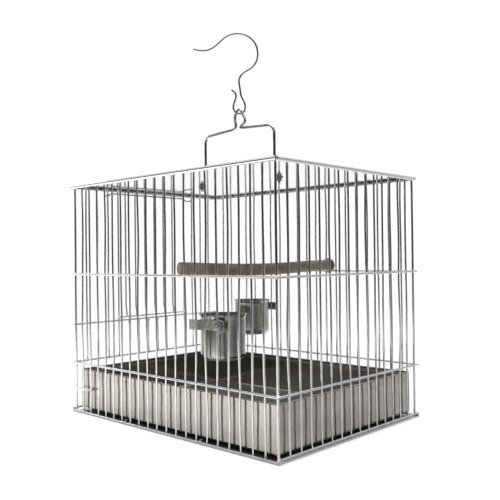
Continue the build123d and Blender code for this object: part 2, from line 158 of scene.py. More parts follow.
def band(first, second, seg, around=False):
    """Quads between two rings of seg points, given by the index of each ring's first point.

    Each quad starts along the first ring if around is set, otherwise from ring to ring; this
    decides which diagonal splits it.
    """
    quads = []
    for k in range(seg):
        a, b = first + k, second + k
        a_next, b_next = first + (k + 1) % seg, second + (k + 1) % seg
        quads.append((a, a_next, b_next, b) if around else (a, b, b_next, a_next))
    return quads


def fan(centre, ring, seg, flip=False):
    """Triangles between a centre point and a ring."""
    triangles = []
    for k in range(seg):
        near, far = ring + k, ring + (k + 1) % seg
        triangles.append((centre, far, near) if flip else (centre, near, far))
    return triangles


def axis_vector(axis, sign=1):
    vector = Vector((0, 0, 0))
    vector[axis] = sign
    return vector


def across(direction):
    """Two unit vectors square to a unit direction and to each other."""
    ref = Vector((0, 0, 1)) if abs(direction.z) < 0.9 else Vector((1, 0, 0))
    u = (ref - direction * ref.dot(direction)).normalized()
    return u, direction.cross(u)


def frames(path):
    """Rotation-minimising frames along a polyline: (point, tangent, u, v)."""
    last = len(path) - 1
    tangents = [(path[min(i + 1, last)] - path[max(i - 1, 0)]).normalized()
                for i in range(last + 1)]
    u = across(tangents[0])[0]
    stations = []
    for i, (point, tangent) in enumerate(zip(path, tangents)):
        if i:
            u = (u - tangent * u.dot(tangent)).normalized()
        stations.append((point, tangent, u, tangent.cross(u)))
    return stations


TUBE_SEG = 14
TUBE_END = 0.35     # length of the softened end, as a share of the radius
# (share of the end's length, share of the radius)
TUBE_END_PROFILE = [(0.0, 0.55), (0.35, 0.86), (1.0, 1.0)]


def tube(shape, path, radius):
    """A round bar along path with softened ends."""
    stations = frames(path)
    end = TUBE_END * radius
    point, tangent, u, v = stations[0]
    rings = [(point + tangent * (end * along), radius * share, u, v)
             for along, share in TUBE_END_PROFILE]
    rings += [(point, radius, u, v) for point, _, u, v in stations[1:-1]]
    point, tangent, u, v = stations[-1]
    rings += [(point - tangent * (end * along), radius * share, u, v)
              for along, share in reversed(TUBE_END_PROFILE)]
    verts, faces = [], []
    for centre, r, u, v in rings:
        for a in angles(TUBE_SEG):
            verts.append(centre + u * (r * math.cos(a)) + v * (r * math.sin(a)))
    last = (len(rings) - 1) * TUBE_SEG
    for start in range(0, last, TUBE_SEG):
        faces += band(start, start + TUBE_SEG, TUBE_SEG, around=True)
    centre = len(verts)
    verts += [stations[0][0], stations[-1][0]]
    faces += fan(centre, 0, TUBE_SEG, flip=True) + fan(centre + 1, last, TUBE_SEG)
    shape.add(verts, faces)


def blob(shape, centre, radii, seed, rough):
    """A lumpy closed bead with its poles on z; rough is the share its radius varies by."""
    seg, steps = 12, 8
    drift = Vector((seed * 3.1, seed * 1.7, seed * 0.9))
    radius_x, radius_y, radius_z = radii
    verts, faces = [], []
    for i in range(1, steps):
        polar = math.pi * i / steps
        for a in angles(seg):
            d = Vector((math.sin(polar) * math.cos(a), math.sin(polar) * math.sin(a),
                        math.cos(polar)))
            swell = 1 + rough * noise.noise(d * 1.9 + drift)
            verts.append(centre + Vector((d.x * radius_x * swell, d.y * radius_y * swell,
                                          d.z * radius_z * swell)))
    top = len(verts)
    verts += [centre + Vector((0, 0, radius_z)), centre + Vector((0, 0, -radius_z))]
    last = (steps - 2) * seg
    for start in range(0, last, seg):
        faces += band(start, start + seg, seg)
    faces += fan(top, 0, seg) + fan(top + 1, last, seg, flip=True)
    shape.add(verts, faces)


def lathe(shape, profile, origin, axis, seg, closed=False):
    """Profile of (radius, height) turned about axis through origin."""
    u, v = across(axis)
    verts, faces, rings = [], [], []
    for radius, height in profile:
        on_axis = radius < 1e-9
        rings.append((len(verts), on_axis))
        if on_axis:
            verts.append(origin + axis * height)
        else:
            verts += [origin + axis * height + (u * math.cos(a) + v * math.sin(a)) * radius
                      for a in angles(seg)]
    pairs = list(zip(rings[:-1], rings[1:]))
    if closed:
        pairs.append((rings[-1], rings[0]))
    for (first, first_on_axis), (second, second_on_axis) in pairs:
        if first_on_axis:
            faces += fan(first, second, seg)
        elif second_on_axis:
            faces += fan(second, first, seg, flip=True)
        else:
            faces += band(first, second, seg)
    shape.add(verts, faces)


def hexagon(shape, origin, axis, apothem, height, spin, bore=None):
    """A hexagonal head or nut rising from origin, its corners turned down to a chamfer.

    spin is the angle of a corner; bore is a nut's hole radius, and without it the top is closed.
    """
    seg = 48
    u, v = across(axis)
    verts, faces, rings = [], [], []

    def ring(radius, level, six_sided=False, drop=0.0):
        """drop is how much of the corner chamfer is added to the level."""
        rings.append(len(verts))
        for a in angles(seg):
            r = radius
            if six_sided:
                r = radius / math.cos((a - spin) % (math.pi / 3) - math.pi / 6)
            chamfer = max(0.0, r - apothem * 0.985) * 0.58
            verts.append(origin + axis * (level + drop * chamfer)
                         + (u * math.cos(a) + v * math.sin(a)) * r)

    if bore:
        ring(bore, 0.12 * height)
        ring(bore * 1.13, 0.0)
    ring(apothem * 0.97, 0.0)
    ring(apothem * 0.985, 0.0, six_sided=True, drop=0.8)
    ring(apothem, 0.03 * height, six_sided=True, drop=1.0)
    ring(apothem, height - 0.03 * height, six_sided=True, drop=-1.0)
    ring(apothem * 0.985, height, six_sided=True, drop=-0.8)
    ring(apothem * 0.97, height)
    if bore:
        ring(bore * 1.13, height)
        ring(bore, height - 0.12 * height)
    else:
        ring(apothem * 0.5, height)
    for first, second in zip(rings[:-1], rings[1:]):
        faces += band(first, second, seg)
    if bore:
        faces += band(rings[-1], rings[0], seg)
    else:
        centre = len(verts)
        verts += [origin, origin + axis * height]
        faces += fan(centre, rings[0], seg) + fan(centre + 1, rings[-1], seg, flip=True)
    shape.add(verts, faces)


def thread(shape, origin, axis, radius, pitch, start, end):
    """A shank from start to end along axis with a helical groove and chamfered ends."""
    seg, steps_per_turn = 24, 6
    depth = pitch * 0.55
    u, v = across(axis)
    length = end - start
    steps = max(8, int(length / pitch * steps_per_turn))
    verts, faces = [], []
    for i in range(steps + 1):
        height = length * i / steps
        to_end = min(height, length - height)
        for k, a in enumerate(angles(seg)):
            phase = (height / pitch - k / seg) % 1.0
            crest = abs(phase - 0.5) * 2          # 1 at the crest, 0 at the root
            r = radius - depth * (1 - min(1.0, crest * 1.25))
            r = min(r, radius - max(0.0, depth * 1.3 - to_end) * 0.9)
            verts.append(origin + axis * (start + height)
                         + (u * math.cos(a) + v * math.sin(a)) * r)
    for i in range(steps):
        faces += band(i * seg, (i + 1) * seg, seg, around=True)
    centre = len(verts)
    verts += [origin + axis * start, origin + axis * end]
    faces += fan(centre, 0, seg, flip=True) + fan(centre + 1, steps * seg, seg)
    shape.add(verts, faces)


# ------------------------------------------------------------------ node helpers
class Graph:
    """A shader node tree. Inputs are given as values, or as sockets to link."""

    def __init__(self, tree, output_kind):
        self.tree = tree
        tree.nodes.clear()
        self.output = self.add(output_kind).inputs[0]

    def feed(self, socket, value):
        if isinstance(value, bpy.types.NodeSocket):
            self.tree.links.new(value, socket)
        else:
            socket.default_value = value

    def add(self, kind, inputs=None, **settings):
        node = self.tree.nodes.new("ShaderNode" + kind)
        for name, value in settings.items():
            setattr(node, name, value)
        for key, value in (inputs or {}).items():
            self.feed(node.inputs[key], value)
        return node

    def math(self, operation, *values):
        return self.add("Math", dict(enumerate(values)), operation=operation).outputs[0]

    def mix(self, blend, factor, first, second):
        inputs = {0: factor, 1: first, 2: second}
        return self.add("MixRGB", inputs, blend_type=blend).outputs[0]

    def dot(self, vector, direction):
        inputs = {0: vector, 1: direction}
        return self.add("VectorMath", inputs, operation="DOT_PRODUCT").outputs["Value"]

    def map_range(self, value, source, target=(0.0, 1.0)):
        inputs = {"Value": value, "From Min": source[0], "From Max": source[1],
                  "To Min": target[0], "To Max": target[1]}
        return self.add("MapRange", inputs).outputs[0]

    def ramp(self, factor, stops):
        """stops are (position, grey level or colour)."""
        node = self.add("ValToRGB", {0: factor})
        elements = node.color_ramp.elements
        while len(elements) < len(stops):
            elements.new(0.5)
        for element, (position, tone) in zip(elements, stops):
            element.position = position
            element.color = (*tone, 1) if hasattr(tone, "__len__") else (tone, tone, tone, 1)
        return node.outputs[0]

    def noise(self, scale, detail, roughness, stretch=(1, 1, 1), distortion=0.0):
        place = self.add("TexCoord").outputs["Object"]
        mapped = self.add("Mapping", {0: place, "Scale": stretch}).outputs[0]
        inputs = {"Vector": mapped, "Scale": scale, "Detail": detail,
                  "Roughness": roughness, "Distortion": distortion}
        return self.add("TexNoise", inputs).outputs["Fac"]

    def bump(self, height, strength, distance):
        inputs = {"Height": height, "Strength": strength, "Distance": distance}
        return self.add("Bump", inputs).outputs[0]


def new_material(name):
    material = bpy.data.materials.new(name)
    material.use_nodes = True
    graph = Graph(material.node_tree, "OutputMaterial")
    shader = graph.add("BsdfPrincipled")
    graph.feed(graph.output, shader.outputs[0])
    return material, graph, shader.inputs


# ------------------------------------------------------------------ materials
def metal(name, base, dark, roughness, grain, bump, bump_depth, patch, stretch=(1, 1, 1),
          tint=None, tint_amount=0.0, painted_reflection_stops=None, dull_upwards=None):
    """Worked steel: a fine grain in relief and roughness, larger clouds in tone.

    base, dark: colours of the clouds; roughness: lowest and highest
    grain, patch: noise scales of the grain and the clouds; stretch: the grain's scale by axis
    bump, bump_depth: relief strength and its depth in mm
    tint, tint_amount: colour and strength of the stains
    streaks: ramp stops that multiply the colour in bands along z, painted reflections; stops above
    1 are painted highlights
    dull_upwards: ramp stops, by the normal's z, of the roughness added
    """
    material, graph, shader = new_material(name)
    shader["Metallic"].default_value = 1.0
    fine = graph.noise(grain, 3, 0.6, stretch)
    cloud = graph.noise(patch, 5, 0.6, distortion=0.4)
    colour = graph.mix("MULTIPLY", 0.35,
                       graph.ramp(cloud, [(0.28, dark), (0.62, base)]),
                       graph.ramp(fine, [(0.30, (0.72, 0.72, 0.73)), (0.66, (1, 1, 1))]))
    if tint:
        stain = graph.noise(patch * 0.45, 4, 0.6, stretch=(1, 1, 0.6), distortion=0.8)
        amount = graph.ramp(stain, [(0.56, 0.0), (0.72, tint_amount)])
        colour = graph.mix("MIX", amount, colour, (*tint, 1))
    # painted reflections: bands along z that darken the colour and, above 1, lighten it into
    # painted highlights
    if painted_reflection_stops:
        reflection_band = graph.noise(210.0, 4, 0.65, stretch=(1, 1, 0.02), distortion=0.3)
        colour = graph.mix("MULTIPLY", 1.0, colour, graph.ramp(reflection_band, painted_reflection_stops))
    graph.feed(shader["Base Color"], colour)
    average = graph.math("MULTIPLY", graph.math("ADD", fine, cloud), 0.5)
    rough = graph.map_range(average, (0.3, 0.7), roughness)
    if dull_upwards:
        normal = graph.add("NewGeometry").outputs["Normal"]
        normal_z = graph.add("SeparateXYZ", {0: normal}).outputs["Z"]
        rough = graph.math("ADD", rough, graph.ramp(normal_z, dull_upwards))
    graph.feed(shader["Roughness"], rough)
    graph.feed(shader["Normal"], graph.bump(fine, bump, bump_depth * MM))
    return material


def wood(name):
    """Weathered wood with its grain along Y."""
    material, graph, shader = new_material(name)
    grain = graph.noise(260, 6, 0.62, stretch=(1, 0.07, 1), distortion=1.2)
    fibre = graph.noise(1500, 3, 0.6, stretch=(1, 0.03, 1), distortion=0.2)
    patch = graph.noise(42, 5, 0.65, stretch=(1, 0.55, 1), distortion=0.6)
    grain_colour = graph.ramp(grain, [
        (0.25, (0.16, 0.120, 0.086)), (0.46, (0.29, 0.228, 0.168)),
        (0.62, (0.385, 0.312, 0.238)), (0.80, (0.46, 0.385, 0.305))])
    patch_colour = graph.ramp(patch, [(0.36, (0.62, 0.58, 0.55)), (0.56, (1, 1, 1))])
    fibre_colour = graph.ramp(fibre, [(0.32, (0.74, 0.72, 0.70)), (0.60, (1, 1, 1))])
    colour = graph.mix("MULTIPLY", 0.75, grain_colour, patch_colour)
    graph.feed(shader["Base Color"], graph.mix("MULTIPLY", 0.8, colour, fibre_colour))
    graph.feed(shader["Roughness"], graph.ramp(patch, [(0.3, 0.62), (0.7, 0.46)]))
    relief = graph.math("ADD", grain, fibre)
    graph.feed(shader["Normal"], graph.bump(relief, strength=0.7, distance=0.15 * MM))
    return material


WIRE = metal(
    "drawn_steel_wire", base=(0.78, 0.78, 0.785), dark=(0.62, 0.62, 0.63),
    roughness=(0.05, 0.15), grain=1400, bump=0.12, bump_depth=0.01, patch=90,
    stretch=(1, 1, 0.25), tint=(0.50, 0.47, 0.40), tint_amount=0.35)
HANDLE = metal(
    "handle_steel_wire", base=(0.40, 0.39, 0.375), dark=(0.27, 0.265, 0.255),
    roughness=(0.12, 0.26), grain=1300, bump=0.15, bump_depth=0.012, patch=70,
    stretch=(1, 1, 0.3), tint=(0.36, 0.33, 0.30), tint_amount=0.4)
WELD = metal(
    "weld_nugget_steel", base=(0.72, 0.70, 0.68), dark=(0.42, 0.38, 0.36),
    roughness=(0.22, 0.45), grain=1600, bump=0.35, bump_depth=0.03, patch=300,
    tint=(0.42, 0.34, 0.24), tint_amount=0.5)
ROOF = metal(
    "roof_sheet_steel", base=(0.87, 0.87, 0.90), dark=(0.82, 0.82, 0.85),
    roughness=(0.04, 0.10), grain=900, bump=0.06, bump_depth=0.006, patch=22,
    stretch=(0.05, 1, 1), dull_upwards=[(0.80, 0.0), (0.95, 0.22)])
TRAY = metal(
    "tray_sheet_steel", base=(0.440, 0.425, 0.395), dark=(0.375, 0.360, 0.335),
    roughness=(0.09, 0.16), grain=1100, bump=0.05, bump_depth=0.004, patch=35,
    stretch=(0.06, 0.06, 1), tint=(0.48, 0.44, 0.40), tint_amount=0.25,
    dull_upwards=[(0.5, 0.0), (0.9, 0.20)])
CUP = metal(
    "cup_steel", base=(0.40, 0.39, 0.375), dark=(0.27, 0.265, 0.255),
    roughness=(0.07, 0.17), grain=1200, bump=0.16, bump_depth=0.012, patch=80,
    stretch=(1, 1, 0.08),
    # the cup's streaks are painted reflections and painted highlights
    painted_reflection_stops=[(0.36, (0.42, 0.41, 0.41)), (0.52, (0.85, 0.85, 0.84)), (0.62, (1.25, 1.25, 1.22))])
BOLT = metal(
    "fastener_steel", base=(0.42, 0.41, 0.39), dark=(0.22, 0.215, 0.205),
    roughness=(0.14, 0.30), grain=1500, bump=0.2, bump_depth=0.015, patch=260,
    tint=(0.35, 0.33, 0.30), tint_amount=0.4)
HOOK = metal(
    "hook_steel_wire", base=(0.20, 0.195, 0.18), dark=(0.12, 0.118, 0.11),
    roughness=(0.12, 0.24), grain=1300, bump=0.15, bump_depth=0.012, patch=60,
    stretch=(1, 1, 0.3))
# a dark copy of the cup steel: painted shade for the inside of the cup
CUP_INSIDE_SHADE_PAINT = metal(
    "cup_inside_painted_shade", base=(0.12, 0.117, 0.11), dark=(0.07, 0.068, 0.064),
    roughness=(0.22, 0.40), grain=1200, bump=0.16, bump_depth=0.012, patch=80,
    stretch=(1, 1, 0.08))
# a darker copy of the wire steel: painted shade for the top rails in the roof's hem, the tray
# bearers under the tray and the door keeper
SHADE_PAINTED_RAIL = metal(
    "rail_wire_painted_shade", base=(0.30, 0.30, 0.315), dark=(0.17, 0.17, 0.18),
    roughness=(0.16, 0.32), grain=1400, bump=0.15, bump_depth=0.01, patch=120)
WASHER = metal(
    "washer_steel", base=(0.62, 0.60, 0.56), dark=(0.44, 0.43, 0.40),
    roughness=(0.34, 0.52), grain=1200, bump=0.25, bump_depth=0.02, patch=300)
STRIP = metal(
    "bracket_strip_steel", base=(0.50, 0.485, 0.455), dark=(0.22, 0.21, 0.195),
    roughness=(0.30, 0.50), grain=900, bump=0.5, bump_depth=0.05, patch=480)
WOOD = wood("perch_wood")

SLOT_MATERIAL = {"frame_wire": WIRE, "roof_sheet": ROOF, "handle_wire": HANDLE,
                 "tray_sheet": TRAY, "cup_steel": CUP, "fasteners": BOLT, "perch_wood": WOOD}
NODE_MATERIAL = {"front_cup_bracket": STRIP, "back_cup_bracket": STRIP, "hanging_hook": HOOK,
                 "door_keeper": SHADE_PAINTED_RAIL}


def dress_cad_pieces():
    """Give every CAD piece its slot's material, or its own where it has one."""
    slot_of = {part["node"]: part["material_slot"] for part in frame["record"]["subparts"]}
    for name, ob in NODES.items():
        ob.data.materials.clear()
        ob.data.materials.append(SLOT_MATERIAL[slot_of[name]])
        shade_by_angle(ob, 35)
    for name, material in NODE_MATERIAL.items():
        NODES[name].data.materials[0] = material


# ------------------------------------------------------------------ wires, rails and welds
UPRIGHTS = ["front_wires", "back_wires", "right_end_wires", "left_end_wires",
            "door_guide_wires", "sill_wires", "corner_posts"]
RAILS = ["bottom_long_rails", "tray_level_long_rails", "middle_long_rails", "top_long_rails",
         "tray_level_end_rails", "middle_end_rail", "top_end_rails", "door_sill",
         "bottom_end_rails", "tray_bearers"]
STIFF_UPRIGHTS = ("corner_posts", "door_guide_wires")
WIRE_BOW = 1.5 * MM
STIFF_BOW = 0.15 * MM
RAIL_BOW = 0.08 * MM
PATH_STEP = 4.0 * MM
FULL_BOW_SPAN = 0.08          # free length from which a wire bows fully
WIRE_FIT = 0.995              # drawn radius as a share of the CAD radius
WELD_REACH = 0.35 * MM        # widest gap between two rods that is still welded
WELD_OVERRUN = 1.5 * MM       # how far past a rod's end a crossing may lie
BEARER_TRIM = 1.0 * MM        # bearer stations this near the rails' axes are dropped
LOWEST_WELD = 0.1 * MM


def crossings(rod, others):
    """The welds of a rod to others, in order along it."""
    def reaches(one, place):
        low, high = one.start[one.axis], one.end[one.axis]
        return low - WELD_OVERRUN <= place <= high + WELD_OVERRUN

    found = []
    for other in others:
        if other.axis == rod.axis:
            continue
        gap_axis = 3 - rod.axis - other.axis
        here, there = rod.start[gap_axis], other.start[gap_axis]
        if abs(here - there) > rod.radius + other.radius + WELD_REACH:
            continue
        along, other_along = other.start[rod.axis], rod.start[other.axis]
        if not (reaches(rod, along) and reaches(other, other_along)):
            continue
        point = Vector((0, 0, 0))
        point[rod.axis], point[other.axis] = along, other_along
        point[gap_axis] = ((here * other.radius + there * rod.radius)
                           / (rod.radius + other.radius))
        found.append(Weld(along, point, gap_axis, rod.axis, other.axis, rod.radius))
    return sorted(found, key=lambda weld: weld.along)


def wire_path(rod, welded, seed, bow):
    """A drawn wire is never dead straight: it bows a little between its welds."""
    axis = rod.axis
    start, end = rod.start[axis], rod.end[axis]
    stops = sorted({round(start, 6), round(end, 6)}
                   | {round(place, 6) for place in welded if start < place < end})
    side_1, side_2 = [i for i in range(3) if i != axis]
    length = end - start
    steps = max(6, int(length / PATH_STEP))
    path = []
    for i in range(steps + 1):
        place = start + length * i / steps
        low = max(stop for stop in stops if stop <= place + 1e-7)
        high = min(stop for stop in stops if stop >= place - 1e-7)
        share = 0.0
        if high > low:
            share = (math.sin(math.pi * (place - low) / (high - low))
                     * min(1.0, (high - low) / FULL_BOW_SPAN))
        point = Vector(rod.start)
        point[axis] = place
        phase = seed * 2.37 + low * 31.0
        drift_1 = Vector((phase, seed * 0.7, 0.3 + place * 6))
        drift_2 = Vector((seed * 1.3, phase, 5.1 + place * 6))
        point[side_1] += share * bow * noise.noise(drift_1)
        point[side_2] += share * bow * noise.noise(drift_2)
        path.append(point)
    return path


def build_wires():
    """Rebuild every wire and rail as drawn wire, and return the welds between them."""
    rods_of = {name: rods(name) for name in UPRIGHTS + RAILS}
    rail_axis_y = max(abs(rail.start.y) for rail in rods_of["bottom_long_rails"])
    welds = {}
    seed = 0
    for name in UPRIGHTS + RAILS:
        upright = name in UPRIGHTS
        bow = RAIL_BOW
        if upright:
            bow = STIFF_BOW if name in STIFF_UPRIGHTS else WIRE_BOW
        crossed = RAILS if upright else [other for other in UPRIGHTS + RAILS if other != name]
        others = [rod for other in crossed for rod in rods_of[other]]
        shape = Shape()
        for rod in rods_of[name]:
            seed += 1
            found = crossings(rod, others)
            for weld in found:
                key = tuple(round(x, 5) for x in weld.point)
                if upright or key not in welds:
                    welds[key] = weld
            path = wire_path(rod, [weld.along for weld in found], seed, bow)
            if name == "tray_bearers":
                # their ends stop on the rails' axes, so they do not show outside the long sides
                path = [point for point in path if abs(point.y) < rail_axis_y - BEARER_TRIM]
                path = [Vector((path[0].x, -rail_axis_y, path[0].z)), *path,
                        Vector((path[-1].x, rail_axis_y, path[-1].z))]
            tube(shape, path, rod.radius * WIRE_FIT)
        # the top rails and the tray bearers get the darker copy of the wire steel, painted shade
        dark = name.startswith("top_") or name == "tray_bearers"
        shape.build(name + "_drawn", "cage", SHADE_PAINTED_RAIL if dark else WIRE, name)
    return list(welds.values())


def build_weld_nuggets(welds):
    """The flash squeezed out where two bars were pressed together."""
    shape = Shape()
    for i, weld in enumerate(welds):
        radii = [0, 0, 0]
        vary_1 = 0.22 * noise.noise(Vector((i * 0.73, 1.1, 0)))
        vary_2 = 0.22 * noise.noise(Vector((2.2, i * 0.61, 0)))
        radii[weld.gap_axis] = weld.radius * 0.78
        radii[weld.axis] = weld.radius * (1.42 + vary_1)
        radii[weld.other_axis] = weld.radius * (1.28 + vary_2)
        blob(shape, weld.point, radii, seed=i, rough=0.22)
    shape.verts = [(x, y, max(z, LOWEST_WELD)) for x, y, z in shape.verts]
    shape.build("weld_nuggets", "cage", WELD)


def build_door_weld_nuggets():
    """One nugget at each end of each door wire."""
    shape = Shape()
    top_low, top_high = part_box("door_top_rail")
    bottom_low, bottom_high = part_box("door_bottom_rail")
    for i, points in enumerate(islands("door_wires")):
        low, high = points.min(0), points.max(0)
        y = (low[1] + high[1]) / 2
        top = Vector(((top_low.x + top_high.x) / 2, y, top_low.z + 0.1 * MM))
        blob(shape, top, (0.95 * MM, 1.5 * MM, 0.75 * MM), seed=400 + i, rough=0.2)
        foot = points[points[:, 2] < low[2] + 1.2 * MM]
        bottom = Vector((foot[:, 0].mean(), y, (bottom_low.z + bottom_high.z) / 2))
        blob(shape, bottom, (0.8 * MM, 1.45 * MM, 1.1 * MM), seed=500 + i, rough=0.2)
    shape.build("door_weld_nuggets", "door", WELD)


# ------------------------------------------------------------------ fasteners
SCREW_HEAD_HEIGHT = 2.1 * MM


def build_washers(node_name, body, axis, bore, material=BOLT):
    """Stamped washers: rounded on the punched side, a slight burr line on the other."""
    shape = Shape()
    for points in islands(node_name):
        low, high = points.min(0), points.max(0)
        side = [i for i in range(3) if i != axis][0]
        thick = high[axis] - low[axis]
        rim = (high[side] - low[side]) / 2
        origin = Vector((low + high) / 2)
        origin[axis] = low[axis]
        edge = min(0.22 * thick, 0.2 * MM)
        profile = [
            (bore + edge, 0), (rim - edge * 0.6, 0), (rim - edge * 0.15, edge * 0.4),
            (rim, thick * 0.35), (rim, thick - edge), (rim - edge * 0.4, thick - edge * 0.3),
            (rim - edge * 1.4, thick), (bore + edge * 1.2, thick),
            (bore + edge * 0.3, thick - edge * 0.4), (bore, thick - edge), (bore, edge)]
        lathe(shape, profile[::-1], origin, axis_vector(axis), seg=64, closed=True)
    shape.build(node_name + "_stamped", body, material, node_name, sharp=40)


def hex_fit(points, axis, direction):
    """Apothem of a hexagonal prism along axis, and the angle of a corner about direction."""
    size = points.max(0) - points.min(0)
    first, second = [i for i in range(3) if i != axis]
    corner = axis_vector(first if size[first] > size[second] else second)
    u, v = across(direction)
    return min(size[first], size[second]) / 2, math.atan2(corner.dot(v), corner.dot(u))


def build_nuts(node_name, body, axis, sign, bore, limit=None):
    """Hexagonal nuts whose outer face looks along sign * axis; limit is the most to build."""
    shape = Shape()
    direction = axis_vector(axis, sign)
    for points in islands(node_name)[:limit]:
        low, high = points.min(0), points.max(0)
        apothem, spin = hex_fit(points, axis, direction)
        base = Vector((low + high) / 2)
        base[axis] = low[axis] if sign > 0 else high[axis]
        hexagon(shape, base, direction, apothem, high[axis] - low[axis], spin, bore)
    shape.build(node_name + "_cut", body, BOLT, node_name, sharp=32)


def build_handle_screws():
    """Hexagonal heads on the handle's feet, with threaded shanks going down."""
    shape = Shape()
    up = axis_vector(2)
    for points in islands("handle_screws"):
        low, high = points.min(0), points.max(0)
        head = points[points[:, 2] > high[2] - 2.3 * MM]
        apothem, spin = hex_fit(head, 2, up)
        base = Vector((low + high) / 2)
        base.z = high[2] - SCREW_HEAD_HEIGHT
        hexagon(shape, base, up, apothem, SCREW_HEAD_HEIGHT, spin)
        thread(shape, base, axis_vector(2, -1), radius=1.48 * MM, pitch=0.5 * MM,
               start=-0.05 * MM, end=base.z - low[2])
    shape.build("handle_screws_threaded", "cage", BOLT, "handle_screws", sharp=32)


def build_perch_bolt():
    shape = Shape()
    low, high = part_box("perch_bolt")
    origin = (low + high) / 2
    origin.y = low.y
    thread(shape, origin, axis_vector(1), radius=(high.x - low.x) / 2 * 0.995,
           pitch=0.7 * MM, start=0, end=high.y - low.y)
    shape.build("perch_bolt_threaded", "cage", BOLT, "perch_bolt", sharp=60)


def build_cup_clamp(side):
    """The washer and nut of one cup's clamp; the nut faces away from the washer."""
    body = side + "_cup_holder"
    washer, nut = side + "_cup_washer", side + "_cup_nut"
    build_washers(washer, body, axis=1, bore=2.1 * MM)
    outward = 1 if islands(nut)[0].mean(0)[1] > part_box(washer)[0].y else -1
    build_nuts(nut, body, axis=1, sign=outward, bore=1.97 * MM, limit=1)


def build_cup_screw(side):
    """A pan head with a cross recess, facing into the cage, on a threaded shank."""
    seg = 72
    recess_depth = 0.9 * MM
    points = islands(side + "_cup_screw")[0]
    low, high = points.min(0), points.max(0)
    x, z = (low[0] + high[0]) / 2, (low[2] + high[2]) / 2
    from_axis = np.hypot(points[:, 0] - x, points[:, 2] - z)
    head_radius = float(from_axis.max())
    recess_radius = head_radius * 0.62
    head_y = points[from_axis > head_radius * 0.9][:, 1]
    if side == "front":
        inward, base_y = 1, head_y.min()
        height, far_y = high[1] - base_y, low[1]
    else:
        inward, base_y = -1, head_y.max()
        height, far_y = base_y - low[1], high[1]
    axis = Vector((0, inward, 0))
    u, v = across(axis)
    origin = Vector((x, base_y, z))

    # (radius, height): the side, the rounded shoulder, then the shallow crown
    profile = [(head_radius * 0.98, 0.0), (head_radius, 0.12 * height),
               (head_radius, 0.42 * height)]
    for k in range(1, 7):
        a = math.pi / 2 * k / 7
        profile.append((head_radius * (0.72 + 0.28 * math.cos(a)),
                        height * (0.42 + 0.50 * math.sin(a))))
    for percent in range(66, 0, -6):
        share = percent / 100
        profile.append((head_radius * share, height * (1.0 - 0.08 * (share / 0.72) ** 2)))

    def recess(radius, across_u, across_v):
        """Depth of the cross at a point of the head; its arms widen towards the centre."""
        if radius >= recess_radius:
            return 0.0
        half_width = 0.30 * MM + 0.10 * MM * (1 - radius / recess_radius)
        off_arm = min(abs(across_u), abs(across_v))
        if off_arm >= half_width:
            return 0.0
        return (min(1.0, (half_width - off_arm) / (0.12 * MM))
                * min(1.0, (recess_radius - radius) / (0.35 * MM)) * recess_depth)

    verts, faces = [], []
    for radius, level in profile:
        for a in angles(seg):
            across_u, across_v = radius * math.cos(a), radius * math.sin(a)
            depth = recess(radius, across_u, across_v)
            verts.append(origin + axis * (level - depth) + u * across_u + v * across_v)
    last = (len(profile) - 1) * seg
    for start in range(0, last, seg):
        faces += band(start, start + seg, seg)
    centre = len(verts)
    verts += [origin + axis * (height - recess_depth), origin]
    faces += fan(centre, last, seg, flip=True) + fan(centre + 1, 0, seg)
    shape = Shape()
    shape.add(verts, faces)

    sunk = 0.3 * MM     # the shank starts this far inside the head
    thread(shape, Vector((x, base_y + inward * sunk, z)), -axis, radius=1.97 * MM,
           pitch=0.7 * MM, start=0, end=abs(base_y - far_y) + sunk)
    shape.build(side + "_cup_screw_cross_head", side + "_cup_holder", BOLT,
                side + "_cup_screw", sharp=40)


# ------------------------------------------------------------------ perch
STICK_SEG = 56
STICK_STEPS = 220
STICK_LENGTH_MM = 205.0       # length over which the knots are spread
# (share of the length from the bolted end, angle round the stick, size)
KNOTS = [(0.16, 0.9, 0.55), (0.37, 3.6, 0.7), (0.58, 5.2, 0.5), (0.79, 2.2, 0.8),
         (0.90, 4.4, 0.5)]
# (mm in from the sawn face, share of the radius)
STICK_EDGE = [(0.0, 0.80), (0.12, 0.90), (0.35, 0.96), (0.8, 1.0)]


def stick_path(points):
    """A smooth line through the CAD perch, from the bolted +Y end to the free end."""
    low, high = points.min(0), points.max(0)
    rows = []
    for y in np.linspace(low[1] + 0.012, high[1] - 0.006, 40):
        near = points[np.abs(points[:, 1] - y) < 0.007]
        if len(near) >= 12:
            rows.append((y, (near[:, 0].min() + near[:, 0].max()) / 2,
                         (near[:, 2].min() + near[:, 2].max()) / 2))
    bolt_low, bolt_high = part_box("perch_bolt")
    bolted_y = high[1]
    rows.append((bolted_y, (bolt_low.x + bolt_high.x) / 2, (bolt_low.z + bolt_high.z) / 2))
    rows = np.array(rows)
    weights = np.ones(len(rows))
    weights[-1] = 6
    fit_x = np.polyfit(rows[:, 0], rows[:, 1], 3, w=weights)
    fit_z = np.polyfit(rows[:, 0], rows[:, 2], 4, w=weights)
    end_face = points[points[:, 1] > high[1] - 0.0004]
    radius = (end_face[:, 2].max() - end_face[:, 2].min()) / 2
    # the free end is cut square to the stick, so its axis stops short of its lowest y
    slope = math.atan(abs(np.polyval(np.polyder(fit_x), low[1] + 0.003)))
    free_y = low[1] + radius * math.sin(slope)
    path = []
    for i in range(STICK_STEPS + 1):
        y = bolted_y - 0.0003 + (free_y - bolted_y + 0.0003) * i / STICK_STEPS
        path.append(Vector((np.polyval(fit_x, y), y, np.polyval(fit_z, y))))
    return path, radius


